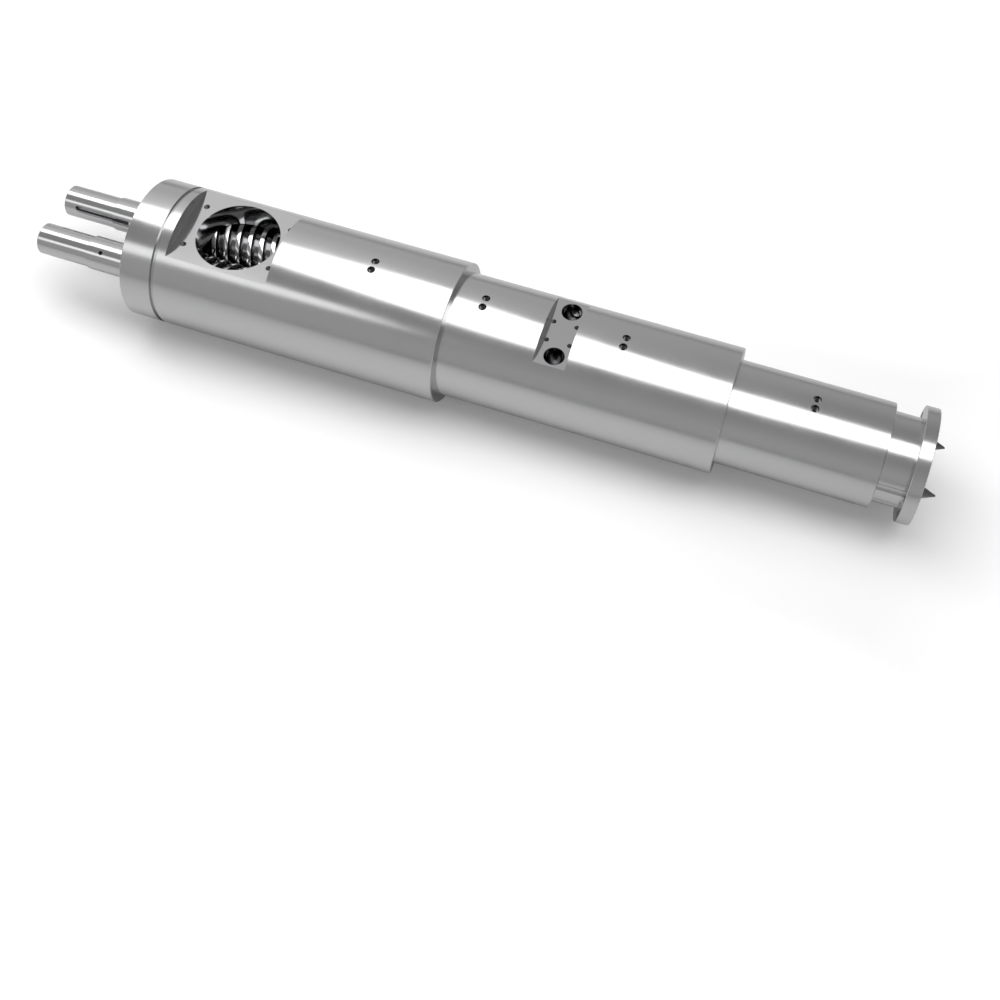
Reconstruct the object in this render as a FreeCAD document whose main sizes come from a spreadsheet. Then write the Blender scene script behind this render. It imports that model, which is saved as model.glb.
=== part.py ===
import FreeCAD, Part
import math
import os
import Sketcher
from FreeCAD import Placement, Rotation, Vector

# Twin-screw pair in its stepped barrel.
# X runs along the barrel from the middle of its rear face to the discharge end, Z is up
# on the side of the feed opening, and the two screw axes lie side by side in the XY plane.

DRIVING = {
    # Turned outside of the barrel, section by section from the rear face
    "HeadRadius": 145,
    "HeadLength": 667,
    "MiddleRadius": 127,
    "MiddleLength": 564,
    "SmallRadius": 104.5,
    "SmallLength": 304,
    "NeckRadius": 89.5,
    "NeckLength": 55,
    "FlangeRadius": 115.5,
    "FlangeThickness": 26,
    "GrooveStart": 65,
    "GrooveWidth": 9,
    "GrooveDepth": 4,
    "RimChamfer": 1,
    # Twin tapered bores on parallel axes
    "CentreDistance": 112,
    "BoreRear": 64.8,
    "BoreFront": 21.3,
    "CrestClearance": 0.8,
    "RootClearance": 1.3,
    # Milled feed seat with its round throat and four tapped holes
    "FeedFlatStart": 91.5,
    "FeedFlatLength": 215.5,
    "FeedFlatDepth": 33,
    "FeedThroatStation": 205,
    "FeedThroatRadius": 84,
    "FeedBoltStation": 203.5,
    "FeedBoltSpacing": 185,
    "FeedBoltWidth": 104,
    "FeedTapDiameter": 10.2,
    "FeedTapDepth": 30,
    # Milled vent seat with one vent over each screw and four tapped holes
    "VentFlatStart": 854,
    "VentFlatLength": 64.5,
    "VentFlatDepth": 29.5,
    "VentStation": 889.5,
    "VentRadius": 20.5,
    "VentBoltStation": 886.5,
    "VentBoltSpacing": 47,
    "VentBoltWidth": 46,
    "VentTapDiameter": 8.5,
    "VentTapDepth": 25,
    # Pairs of counterbored sensor wells along the top
    "WellStationRear": 498.5,
    "WellStationMiddle": 728,
    "WellStationFront": 1012,
    "WellStationSmall": 1388,
    "WellSpacing": 22,
    "WellDiameter": 8,
    "WellDepth": 60,
    "WellMouthDiameter": 16,
    "WellMouthDepth": 13,
    # Discharge flange, the scallops of its neck, and the rear fixing holes
    "FlangeBoltCircleRadius": 102.5,
    "FlangeBoltDiameter": 13.5,
    "ScallopRadius": 15.5,
    "ScallopAngle": 15,
    "RearBoltWidth": 122,
    "RearBoltHeight": 210,
    "RearTapDiameter": 17.5,
    "RearTapDepth": 40,
    # Screw shank, collar, core and nose
    "ShankOverhang": 228,
    "ShankRadius": 32.5,
    "ShankChamfer": 3,
    "SealOverhang": 112,
    "SealRadius": 35.3,
    "CollarStart": 16,
    "CollarLength": 70,
    "CollarRadius": 54.5,
    "CoreSetback": 11,
    "NoseLength": 42.5,
    "NoseBaseRadius": 18.5,
    "NoseTipRadius": 1.5,
    # Three-start feed flights, then one long metering flight
    "FeedFlightStart": 103,
    "FeedFlightLength": 184,
    "FeedLead": 77.1,
    "FeedCrestWidth": 9,
    "FeedRootDepth": 7.4,
    "ZoneGap": 26,
    "MeterLead": 190,
    "MeterCrestWidth": 14,
    "MeterRootDepth": 6.2,
    "MeterSetback": 11,
    "FlankDraft": 0.16,
    "FlightFoot": 1.5,
    # Keyway and dowel hole of the shank, angles from the horizontal plane
    "KeywayEnd": 200,
    "KeywayLength": 126,
    "KeywayWidth": 9,
    "KeywayDepth": 5,
    "KeywayAngle": 150,
    "DowelOverhang": 81.5,
    "DowelDiameter": 9,
    "DowelDepth": 14,
    "DowelAngle": 239,
}

DERIVED = {
    # Stations along the barrel
    "HeadEnd": "HeadLength",
    "MiddleEnd": "HeadEnd + MiddleLength",
    "SmallEnd": "MiddleEnd + SmallLength",
    "NeckEnd": "SmallEnd + NeckLength",
    "BarrelLength": "NeckEnd + FlangeThickness",
    "GrooveEnd": "GrooveStart + GrooveWidth",
    "GrooveRadius": "HeadRadius - GrooveDepth",
    "AxisOffset": "CentreDistance / 2",
    # Seats
    "FeedFlatEnd": "FeedFlatStart + FeedFlatLength",
    "FeedFlatHeight": "HeadRadius - FeedFlatDepth",
    "VentFlatEnd": "VentFlatStart + VentFlatLength",
    "VentFlatHeight": "MiddleRadius - VentFlatDepth",
    "FeedBoltFirst": "FeedBoltStation - FeedBoltSpacing / 2",
    "FeedBoltLast": "FeedBoltStation + FeedBoltSpacing / 2",
    "FeedBoltSide": "FeedBoltWidth / 2",
    "VentBoltFirst": "VentBoltStation - VentBoltSpacing / 2",
    "VentBoltLast": "VentBoltStation + VentBoltSpacing / 2",
    "VentBoltSide": "VentBoltWidth / 2",
    "WellSide": "WellSpacing / 2",
    "RearBoltSide": "RearBoltWidth / 2",
    "RearBoltRise": "RearBoltHeight / 2",
    "ScallopSide": "FlangeBoltCircleRadius * cos(ScallopAngle)",
    "ScallopRise": "FlangeBoltCircleRadius * sin(ScallopAngle)",
    # Crest cone of a screw: the bore less the running clearance
    "CrestRear": "BoreRear - CrestClearance",
    "TaperSlope": "(BoreRear - BoreFront) / BarrelLength",
    "TaperAngle": "atan(TaperSlope)",
    # Stations along a screw
    "CollarEnd": "CollarStart + CollarLength",
    "FeedFlightEnd": "FeedFlightStart + FeedFlightLength",
    "MeterStart": "FeedFlightEnd + ZoneGap",
    "CoreEnd": "BarrelLength - CoreSetback",
    "MeterEnd": "CoreEnd - MeterSetback",
    "MeterLength": "MeterEnd - MeterStart",
    "NoseEnd": "CoreEnd + NoseLength",
    # Core: straight through the feed zone, clear of the other screw's crest, then tapering
    "RootLimit": "CentreDistance - CrestRear + CollarEnd * TaperSlope - RootClearance",
    "RootRear": "min(CrestRear - MeterStart * TaperSlope - FeedRootDepth; RootLimit)",
    "RootFront": "CrestRear - CoreEnd * TaperSlope - MeterRootDepth",
    # Section of a feed flight
    "FeedSide": "FeedCrestWidth / 2",
    "FeedCrestStart": "FeedFlightStart - FeedSide",
    "FeedCrestEnd": "FeedFlightStart + FeedSide",
    "FeedCrestHigh": "CrestRear - FeedCrestStart * TaperSlope",
    "FeedCrestLow": "CrestRear - FeedCrestEnd * TaperSlope",
    "FeedHeight": "FeedCrestHigh - RootRear + FlightFoot",
    "FeedFootStart": "FeedCrestStart - FeedHeight * FlankDraft",
    "FeedFootEnd": "FeedCrestEnd + FeedHeight * FlankDraft",
    "FeedFootRadius": "FeedCrestHigh - FeedHeight",
    # Section of the metering flight, taken at its discharge end
    "MeterSide": "MeterCrestWidth / 2",
    "MeterCrestStart": "MeterEnd - MeterSide",
    "MeterCrestEnd": "MeterEnd + MeterSide",
    "MeterCrestHigh": "CrestRear - MeterCrestStart * TaperSlope",
    "MeterCrestLow": "CrestRear - MeterCrestEnd * TaperSlope",
    "MeterHeight": "CrestRear - MeterStart * TaperSlope - RootRear + FlightFoot",
    "MeterFootStart": "MeterCrestStart - MeterHeight * FlankDraft",
    "MeterFootEnd": "MeterCrestEnd + MeterHeight * FlankDraft",
    "MeterFootRadius": "MeterCrestHigh - MeterHeight",
    # Keyway
    "KeywaySide": "KeywayWidth / 2",
    "KeywayFloor": "ShankRadius - KeywayDepth",
    "KeywayRearCentre": "KeywayEnd - KeywaySide",
    "KeywayFrontCentre": "KeywayEnd - KeywayLength + KeywaySide",
}

ORIGIN_POINT = (-1, 1)
HORIZONTAL_AXIS = -1
VERTICAL_AXIS = -2
START_INDEX = 1
END_INDEX = 2
CENTRE_INDEX = 3
MATCH = 0.01

doc = FreeCAD.newDocument("ExtruderScrew")


def make_sheet():
    """Fill the sheet: driving dimensions first, then the sizes worked out from them."""
    sheet = doc.addObject("Spreadsheet::Sheet", "Sizes")
    cells = [(name, str(value)) for name, value in DRIVING.items()]
    cells += [(name, "=" + formula) for name, formula in DERIVED.items()]
    for row, (name, content) in enumerate(cells, start=1):
        sheet.set(f"A{row}", name)
        sheet.set(f"B{row}", content)
        sheet.setAlias(f"B{row}", name)
    doc.recompute()
    return sheet


sheet = make_sheet()


def size(name):
    """Value of a named size, with a leading minus sign where it points backwards."""
    if name == "0":
        return 0.0
    value = float(sheet.get(name.lstrip("-")))
    return -value if name.startswith("-") else value


def bind(feature, **sizes):
    """Tie properties of a feature to sizes of the sheet."""
    for prop, name in sizes.items():
        sign = "-" if name.startswith("-") else ""
        feature.setExpression(prop, f"{sign}Sizes.{name.lstrip('-')}")


def origin_feature(body, role):
    """Origin plane or axis of a body."""
    return next(item for item in body.Origin.OriginFeatures if item.Role == role)


def make_body(name, label):
    """Start a body for one physical piece."""
    body = doc.addObject("PartDesign::Body", name)
    body.Label = label
    doc.recompute()
    return body


def new_sketch(body, name, role="XY_Plane", lift=None):
    """Sketch on an origin plane, raised along its normal by a named size."""
    sketch = body.newObject("Sketcher::SketchObject", name)
    sketch.AttachmentSupport = [(origin_feature(body, role), "")]
    sketch.MapMode = "FlatFace"
    if lift:
        sketch.AttachmentOffset = Placement(Vector(0, 0, size(lift)), Rotation())
        sketch.setExpression("AttachmentOffset.Base.z", f"Sizes.{lift}")
    return sketch


def tie(sketch, kind, item, point, name):
    """Hold one coordinate of a point at a named distance from the sketch origin."""
    if name == "0":
        axis = VERTICAL_AXIS if kind == "DistanceX" else HORIZONTAL_AXIS
        sketch.addConstraint(Sketcher.Constraint("PointOnObject", item, point, axis))
        return
    ends = (item, point, *ORIGIN_POINT) if name.startswith("-") else (*ORIGIN_POINT, item, point)
    index = sketch.addConstraint(Sketcher.Constraint(kind, *ends, abs(size(name))))
    sketch.setExpression(f"Constraints[{index}]", f"Sizes.{name.lstrip('-')}")


def place(sketch, item, point, corner):
    """Hold a point at a pair of named coordinates."""
    tie(sketch, "DistanceX", item, point, corner[0])
    tie(sketch, "DistanceY", item, point, corner[1])


def outline(sketch, corners):
    """Closed outline of straight lines through pairs of named coordinates."""
    points = [Vector(size(x), size(y), 0) for x, y in corners]
    count = len(points)
    for index, point in enumerate(points):
        sketch.addGeometry(Part.LineSegment(point, points[(index + 1) % count]), False)
    for index, corner in enumerate(corners):
        sketch.addConstraint(Sketcher.Constraint("Coincident", index, END_INDEX, (index + 1) % count, START_INDEX))
        place(sketch, index, START_INDEX, corner)
    return sketch


def circles(sketch, centres, radius):
    """Equal circles about pairs of named coordinates."""
    for centre in centres:
        middle = Vector(size(centre[0]), size(centre[1]), 0)
        index = sketch.addGeometry(Part.Circle(middle, Vector(0, 0, 1), abs(size(radius))), False)
        place(sketch, index, CENTRE_INDEX, centre)
        number = sketch.addConstraint(Sketcher.Constraint("Radius", index, size(radius)))
        sketch.setExpression(f"Constraints[{number}]", f"Sizes.{radius}")
    return sketch


def four_corners(first, last, side):
    """The four places of a rectangular hole pattern."""
    return [(first, side), (first, f"-{side}"), (last, side), (last, f"-{side}")]


def revolve(body, name, sketch):
    """Turn an outline about the sketch's horizontal axis."""
    feature = body.newObject("PartDesign::Revolution", name)
    feature.Profile = sketch
    feature.ReferenceAxis = (sketch, ["H_Axis"])
    feature.Angle = 360
    doc.recompute()
    return feature


def pocket(body, name, sketch, length=None, upward=True, both_sides=False):
    """Cut an outline out of the body, through everything where no length is named."""
    feature = body.newObject("PartDesign::Pocket", name)
    feature.Profile = sketch
    feature.Reversed = upward
    feature.Midplane = both_sides
    feature.Type = "Length" if length else "ThroughAll"
    if length:
        bind(feature, Length=length)
    doc.recompute()
    return feature


def drill(body, name, sketch, diameter, depth, mouth=None, inward=False):
    """Flat-bottomed holes, with a counterbored mouth where its size is named."""
    feature = body.newObject("PartDesign::Hole", name)
    feature.Profile = sketch
    doc.recompute()
    feature.Reversed = inward
    feature.ThreadType = "None"
    feature.DepthType = "Dimension"
    feature.DrillPoint = "Flat"
    bind(feature, Diameter=diameter, Depth=depth)
    if mouth:
        feature.HoleCutType = "Counterbore"
        feature.HoleCutCustomValues = True
        bind(feature, HoleCutDiameter=mouth[0], HoleCutDepth=mouth[1])
    doc.recompute()
    return feature


def chamfer_rims(body, base, rims, width):
    """Chamfer the turned rims that lie at the given stations and radii."""
    edges = []
    for number, edge in enumerate(base.Shape.Edges, start=1):
        if edge.Curve.TypeId != "Part::GeomCircle":
            continue
        for station, radius in rims:
            same_place = abs(edge.Curve.Center.x - size(station)) < MATCH
            if same_place and abs(edge.Curve.Radius - size(radius)) < MATCH:
                edges.append(f"Edge{number}")
    feature = body.newObject("PartDesign::Chamfer", "Rims")
    feature.Base = (base, edges)
    bind(feature, Size=width)
    doc.recompute()
    return feature


def turn_barrel(body):
    """Stepped outside of the barrel, turned from one forging."""
    profile = [
        ("0", "0"),
        ("0", "HeadRadius"),
        ("GrooveStart", "HeadRadius"),
        ("GrooveStart", "GrooveRadius"),
        ("GrooveEnd", "GrooveRadius"),
        ("GrooveEnd", "HeadRadius"),
        ("HeadEnd", "HeadRadius"),
        ("HeadEnd", "MiddleRadius"),
        ("MiddleEnd", "MiddleRadius"),
        ("MiddleEnd", "SmallRadius"),
        ("SmallEnd", "SmallRadius"),
        ("SmallEnd", "NeckRadius"),
        ("NeckEnd", "NeckRadius"),
        ("NeckEnd", "FlangeRadius"),
        ("BarrelLength", "FlangeRadius"),
        ("BarrelLength", "0"),
    ]
    turned = revolve(body, "Forging", outline(new_sketch(body, "ForgingOutline"), profile))
    rims = [
        ("0", "HeadRadius"),
        ("HeadEnd", "HeadRadius"),
        ("MiddleEnd", "MiddleRadius"),
        ("SmallEnd", "SmallRadius"),
        ("NeckEnd", "FlangeRadius"),
        ("BarrelLength", "FlangeRadius"),
    ]
    chamfer_rims(body, turned, rims, "RimChamfer")


def bore_barrel(body):
    """Two tapered bores side by side, the second the mirror image of the first."""
    bore = body.newObject("PartDesign::SubtractiveCone", "TaperedBore")
    bore.AttachmentSupport = [(origin_feature(body, "YZ_Plane"), "")]
    bore.MapMode = "FlatFace"
    bore.AttachmentOffset = Placement(Vector(size("AxisOffset"), 0, 0), Rotation())
    bore.setExpression("AttachmentOffset.Base.x", "Sizes.AxisOffset")
    bind(bore, Radius1="BoreRear", Radius2="BoreFront", Height="BarrelLength")
    doc.recompute()
    pair = body.newObject("PartDesign::Mirrored", "BorePair")
    pair.Originals = [bore]
    pair.MirrorPlane = (origin_feature(body, "XZ_Plane"), [""])
    body.Tip = pair
    doc.recompute()


def mill_seat(body, name, start, end, floor, top):
    """Mill a level seat across the whole width of the barrel."""
    side = new_sketch(body, name + "Outline", "XZ_Plane")
    outline(side, [(start, floor), (end, floor), (end, top), (start, top)])
    pocket(body, name, side, both_sides=True)


def cut_feed_opening(body):
    """Feed seat, its round throat down to the screws, and its tapped holes."""
    mill_seat(body, "FeedSeat", "FeedFlatStart", "FeedFlatEnd", "FeedFlatHeight", "HeadRadius")
    throat = circles(new_sketch(body, "FeedThroatCircle"), [("FeedThroatStation", "0")], "FeedThroatRadius")
    pocket(body, "FeedThroat", throat)
    places = four_corners("FeedBoltFirst", "FeedBoltLast", "FeedBoltSide")
    marks = circles(new_sketch(body, "FeedTapMarks", lift="FeedFlatHeight"), places, "FeedTapDiameter")
    drill(body, "FeedTaps", marks, "FeedTapDiameter", "FeedTapDepth")


def cut_vents(body):
    """Vent seat, one vent over each screw, and its tapped holes."""
    mill_seat(body, "VentSeat", "VentFlatStart", "VentFlatEnd", "VentFlatHeight", "MiddleRadius")
    centres = [("VentStation", "AxisOffset"), ("VentStation", "-AxisOffset")]
    pocket(body, "Vents", circles(new_sketch(body, "VentCircles"), centres, "VentRadius"))
    places = four_corners("VentBoltFirst", "VentBoltLast", "VentBoltSide")
    marks = circles(new_sketch(body, "VentTapMarks", lift="VentFlatHeight"), places, "VentTapDiameter")
    drill(body, "VentTaps", marks, "VentTapDiameter", "VentTapDepth")


def drill_wells(body):
    """Pairs of counterbored wells along the top of each section."""
    stations = {
        "WellStationRear": "HeadRadius",
        "WellStationMiddle": "MiddleRadius",
        "WellStationFront": "MiddleRadius",
        "WellStationSmall": "SmallRadius",
    }
    for station, top in stations.items():
        centres = [(station, "WellSide"), (station, "-WellSide")]
        marks = circles(new_sketch(body, station + "Marks", lift=top), centres, "WellDiameter")
        drill(body, station + "Holes", marks, "WellDiameter", "WellDepth", ("WellMouthDiameter", "WellMouthDepth"))


def finish_ends(body):
    """Scallops along the neck, flange holes and tapped holes of the rear face."""
    places = four_corners("ScallopSide", "-ScallopSide", "ScallopRise")
    scallops = circles(new_sketch(body, "ScallopCircles", "YZ_Plane", "SmallEnd"), places, "ScallopRadius")
    pocket(body, "Scallops", scallops, "NeckLength")
    marks = circles(new_sketch(body, "FlangeHoleMarks", "YZ_Plane", "NeckEnd"), places, "FlangeBoltDiameter")
    drill(body, "FlangeHoles", marks, "FlangeBoltDiameter", "FlangeThickness", inward=True)
    places = four_corners("RearBoltSide", "-RearBoltSide", "RearBoltRise")
    marks = circles(new_sketch(body, "RearTapMarks", "YZ_Plane"), places, "RearTapDiameter")
    drill(body, "RearTaps", marks, "RearTapDiameter", "RearTapDepth", inward=True)


def make_barrel():
    """The barrel as one piece."""
    body = make_body("Barrel", "barrel")
    turn_barrel(body)
    bore_barrel(body)
    cut_feed_opening(body)
    cut_vents(body)
    drill_wells(body)
    finish_ends(body)
    return body


def turn_screw(body):
    """Shank, shaft collar, tapering core and pointed nose, turned from one bar."""
    profile = [
        ("-ShankOverhang", "0"),
        ("-ShankOverhang", "ShankRadius"),
        ("-SealOverhang", "ShankRadius"),
        ("-SealOverhang", "SealRadius"),
        ("CollarStart", "SealRadius"),
        ("CollarStart", "CollarRadius"),
        ("CollarEnd", "CollarRadius"),
        ("CollarEnd", "RootRear"),
        ("MeterStart", "RootRear"),
        ("CoreEnd", "RootFront"),
        ("CoreEnd", "NoseBaseRadius"),
        ("NoseEnd", "NoseTipRadius"),
        ("NoseEnd", "0"),
    ]
    bar = revolve(body, "Core", outline(new_sketch(body, "CoreOutline"), profile))
    chamfer_rims(body, bar, [("-ShankOverhang", "ShankRadius")], "ShankChamfer")


def wind_flight(body, name, corners, lead, length, left_handed, from_front):
    """Wind a flight along the crest cone, up from its rear end or back from its front end."""
    flight = body.newObject("PartDesign::AdditiveHelix", name)
    flight.Profile = outline(new_sketch(body, name + "Section"), corners)
    flight.ReferenceAxis = (flight.Profile[0], ["H_Axis"])
    flight.Mode = 0
    flight.LeftHanded = left_handed
    flight.Reversed = from_front
    angle = "TaperAngle" if from_front else "-TaperAngle"
    bind(flight, Pitch=lead, Height=length, Angle=angle)
    doc.recompute()
    return flight


def cut_flights(body, left_handed):
    """Three feed flights, then the single metering flight."""
    section = [
        ("FeedFootStart", "FeedFootRadius"),
        ("FeedCrestStart", "FeedCrestHigh"),
        ("FeedCrestEnd", "FeedCrestLow"),
        ("FeedFootEnd", "FeedFootRadius"),
    ]
    flight = wind_flight(body, "FeedFlight", section, "FeedLead", "FeedFlightLength", left_handed, False)
    starts = body.newObject("PartDesign::PolarPattern", "FeedFlights")
    starts.Originals = [flight]
    starts.Axis = (origin_feature(body, "X_Axis"), [""])
    starts.Angle = 360
    starts.Occurrences = 3
    body.Tip = starts
    doc.recompute()
    section = [
        ("MeterFootStart", "MeterFootRadius"),
        ("MeterCrestStart", "MeterCrestHigh"),
        ("MeterCrestEnd", "MeterCrestLow"),
        ("MeterFootEnd", "MeterFootRadius"),
    ]
    wind_flight(body, "MeterFlight", section, "MeterLead", "MeterLength", left_handed, True)


def radial_sketch(body, name, angle, distance, mirrored):
    """Sketch square to the radius at a named angle round the shank."""
    side = -1 if mirrored else 1
    sketch = new_sketch(body, name)
    tilt = side * (size(angle) - 90)
    turn = Rotation(Vector(1, 0, 0), tilt)
    sketch.AttachmentOffset = Placement(turn.multVec(Vector(0, 0, side * size(distance))), turn)
    heading = f"({side} * (Sizes.{angle} - 90))"
    sketch.setExpression("AttachmentOffset.Rotation.Angle", heading)
    sketch.setExpression("AttachmentOffset.Base.y", f"-{side} * Sizes.{distance} * sin({heading})")
    sketch.setExpression("AttachmentOffset.Base.z", f"{side} * Sizes.{distance} * cos({heading})")
    return sketch


def cut_keyway(body, mirrored):
    """Keyway with round ends along the shank."""
    sketch = radial_sketch(body, "KeywayOutline", "KeywayAngle", "KeywayFloor", mirrored)
    rear, front = size("-KeywayRearCentre"), size("-KeywayFrontCentre")
    half = size("KeywaySide")
    up = Vector(0, 0, 1)
    sketch.addGeometry(Part.LineSegment(Vector(rear, half, 0), Vector(front, half, 0)), False)
    sketch.addGeometry(Part.ArcOfCircle(Part.Circle(Vector(front, 0, 0), up, half), -math.pi / 2, math.pi / 2), False)
    sketch.addGeometry(Part.LineSegment(Vector(front, -half, 0), Vector(rear, -half, 0)), False)
    sketch.addGeometry(Part.ArcOfCircle(Part.Circle(Vector(rear, 0, 0), up, half), math.pi / 2, 3 * math.pi / 2), False)
    joins = [
        (0, END_INDEX, 1, END_INDEX),
        (2, START_INDEX, 1, START_INDEX),
        (2, END_INDEX, 3, END_INDEX),
        (0, START_INDEX, 3, START_INDEX),
    ]
    for join in joins:
        sketch.addConstraint(Sketcher.Constraint("Tangent", *join))
    place(sketch, 1, CENTRE_INDEX, ("-KeywayFrontCentre", "0"))
    place(sketch, 3, CENTRE_INDEX, ("-KeywayRearCentre", "0"))
    number = sketch.addConstraint(Sketcher.Constraint("Radius", 1, half))
    sketch.setExpression(f"Constraints[{number}]", "Sizes.KeywaySide")
    pocket(body, "Keyway", sketch, "ShankRadius", upward=not mirrored)


def drill_dowel_hole(body, mirrored):
    """Blind dowel hole in the side of the shank."""
    sketch = radial_sketch(body, "DowelMark", "DowelAngle", "SealRadius", mirrored)
    circles(sketch, [("-DowelOverhang", "0")], "DowelDiameter")
    drill(body, "DowelHole", sketch, "DowelDiameter", "DowelDepth", inward=mirrored)


def make_screw(name, label, side, left_handed):
    """One screw on its own axis; the left-handed one is the mirror image of the other."""
    body = make_body(name, label)
    turn_screw(body)
    cut_flights(body, left_handed)
    cut_keyway(body, left_handed)
    drill_dowel_hole(body, left_handed)
    body.Placement = Placement(Vector(0, side * size("AxisOffset"), 0), Rotation())
    body.setExpression("Placement.Base.y", f"{side} * Sizes.AxisOffset")
    doc.recompute()
    return body


def check_document(bodies):
    """Stop before anything is written if a feature failed or a piece is not one sound solid."""
    failed = [item.Name for item in doc.Objects if {"Invalid", "Error"} & set(item.State)]
    if failed:
        raise RuntimeError(f"failed features: {failed}")
    for body in bodies:
        shape = body.Shape
        if shape.isNull() or not shape.isValid() or len(shape.Solids) != 1:
            raise RuntimeError(f"{body.Label} is not one valid solid")


pieces = [
    make_barrel(),
    make_screw("RightHandScrew", "screw_right_hand", 1, False),
    make_screw("LeftHandScrew", "screw_left_hand", -1, True),
]
doc.recompute()
check_document(pieces)
os.makedirs("parts", exist_ok=True)
for piece in pieces:
    piece.Shape.exportStep(f"parts/{piece.Label}.step")
    box = piece.Shape.optimalBoundingBox()
    print(piece.Label, round(piece.Shape.Volume / 1000), "cm3", box)
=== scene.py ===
import logging
import math
from collections.abc import Callable, Iterable, Sequence
from dataclasses import dataclass
from enum import Enum, IntEnum
from itertools import pairwise

import bmesh
import bpy
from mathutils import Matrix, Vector


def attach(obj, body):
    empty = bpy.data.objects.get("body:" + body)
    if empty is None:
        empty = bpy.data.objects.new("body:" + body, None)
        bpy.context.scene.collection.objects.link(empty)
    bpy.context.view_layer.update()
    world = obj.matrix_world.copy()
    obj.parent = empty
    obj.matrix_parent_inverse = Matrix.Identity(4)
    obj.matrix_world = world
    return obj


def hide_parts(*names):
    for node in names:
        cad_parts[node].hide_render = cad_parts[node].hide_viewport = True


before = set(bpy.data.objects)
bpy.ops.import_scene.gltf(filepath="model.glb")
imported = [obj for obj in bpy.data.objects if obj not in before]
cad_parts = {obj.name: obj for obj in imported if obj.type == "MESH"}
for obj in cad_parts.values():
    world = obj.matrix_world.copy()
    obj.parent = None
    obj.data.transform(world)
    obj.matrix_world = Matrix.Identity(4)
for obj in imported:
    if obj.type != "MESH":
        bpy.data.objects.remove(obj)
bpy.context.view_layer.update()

# A pair of extruder screws in their stepped steel barrel, in metres, in the frame of the
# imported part: X along the barrel from its rear face, Y across the two screws, Z up.

LOG = logging.getLogger("extruder_screw")
TOUCH = 1e-4  # a face whose middle is nearer than this to a plane or a wall lies on it
SQUARE = 0.99  # a face whose normal has more than this along an axis stands square to it
OUTWARD = 0.7  # a turned face's normal has more than this straight out, also on a 45 degree rim

Pair = tuple[float, float]
Point = tuple[float, float, float]
Profile = Sequence[Pair]


class Axis(Enum):
    """Lathe axis of a turned piece: the turn that lays it so, and the resize mask."""

    ALONG = "X"
    UPRIGHT = "Z"

    @property
    def direction(self) -> Vector:
        """Unit vector along the axis."""
        return Vector((1, 0, 0)) if self is Axis.ALONG else Vector((0, 0, 1))

    @property
    def tilt(self) -> Point:
        """Rotation that squares a new circle to the axis."""
        return (0, math.pi / 2, 0) if self is Axis.ALONG else (0, 0, 0)

    def widen(self, factor: float) -> Point:
        """Scale across the axis only."""
        return (1, factor, factor) if self is Axis.ALONG else (factor, factor, 1)


class Hand(Enum):
    """Hand of a screw's flights; the left one is the mirror image of the right one."""

    RIGHT = 1
    LEFT = -1


class Cut(Enum):
    """What a boolean does with its tool."""

    AWAY = "DIFFERENCE"
    TOGETHER = "UNION"


class BarrelSlot(IntEnum):
    """Slots of the barrel's finishes."""

    TURNED = 0
    MILLED = 1
    BORED = 2
    FACED = 3
    HOLE = 4


class ScrewSlot(IntEnum):
    """Slots of a screw's finishes."""

    GROUND = 0
    POLISHED = 1
    CHANNEL = 2


def activate(piece: bpy.types.Object) -> bpy.types.Object:
    """Select one object alone and make it active.

    Args:
        piece: the object to work on.

    Returns:
        The same object.
    """
    if bpy.context.mode != "OBJECT":
        bpy.ops.object.mode_set(mode="OBJECT")
    bpy.ops.object.select_all(action="DESELECT")
    piece.select_set(True)
    bpy.context.view_layer.objects.active = piece
    return piece


def settle(piece: bpy.types.Object) -> bpy.types.Object:
    """Put an object's place, rotation and scale into its mesh.

    Args:
        piece: the object to settle.

    Returns:
        The same object, at the origin.
    """
    activate(piece)
    bpy.ops.object.transform_apply(location=True, rotation=True, scale=True)
    return piece


def turn(
    name: str, profile: Profile, segments: int, axis: Axis = Axis.ALONG, place: Point = (0, 0, 0)
) -> bpy.types.Object:
    """Turn a closed solid from its profile, as on a lathe.

    Args:
        name: name of the new object.
        profile: (station along the axis, radius) pairs in order.
        segments: number of facets round the axis.
        axis: axis of the lathe.
        place: point that the stations start from.

    Returns:
        The turned solid.
    """
    bpy.ops.object.select_all(action="DESELECT")
    centre = Vector(place)
    station, radius = profile[0]
    bpy.ops.mesh.primitive_circle_add(
        vertices=segments,
        radius=radius,
        fill_type="NGON",
        location=centre + axis.direction * station,
        rotation=axis.tilt,
    )
    piece = settle(bpy.context.active_object)
    piece.name = name
    bpy.ops.object.mode_set(mode="EDIT")
    bpy.ops.mesh.select_all(action="SELECT")
    for next_station, next_radius in profile[1:]:
        step = axis.direction * (next_station - station)
        bpy.ops.mesh.extrude_region_move(TRANSFORM_OT_translate={"value": step})
        bpy.ops.transform.resize(
            value=axis.widen(next_radius / radius),
            center_override=centre + axis.direction * next_station,
        )
        station, radius = next_station, next_radius
    bpy.ops.mesh.select_all(action="SELECT")
    bpy.ops.mesh.normals_make_consistent(inside=False)
    bpy.ops.object.mode_set(mode="OBJECT")
    return piece


def block(name: str, low: Point, high: Point) -> bpy.types.Object:
    """Make a plain box between two corners, as a milling tool.

    Args:
        name: name of the new object.
        low: lowest corner.
        high: highest corner.

    Returns:
        The box.
    """
    bpy.ops.object.select_all(action="DESELECT")
    low_corner, high_corner = Vector(low), Vector(high)
    bpy.ops.mesh.primitive_cube_add(size=1, location=(low_corner + high_corner) / 2)
    piece = bpy.context.active_object
    piece.name = name
    piece.scale = high_corner - low_corner
    return settle(piece)


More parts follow.
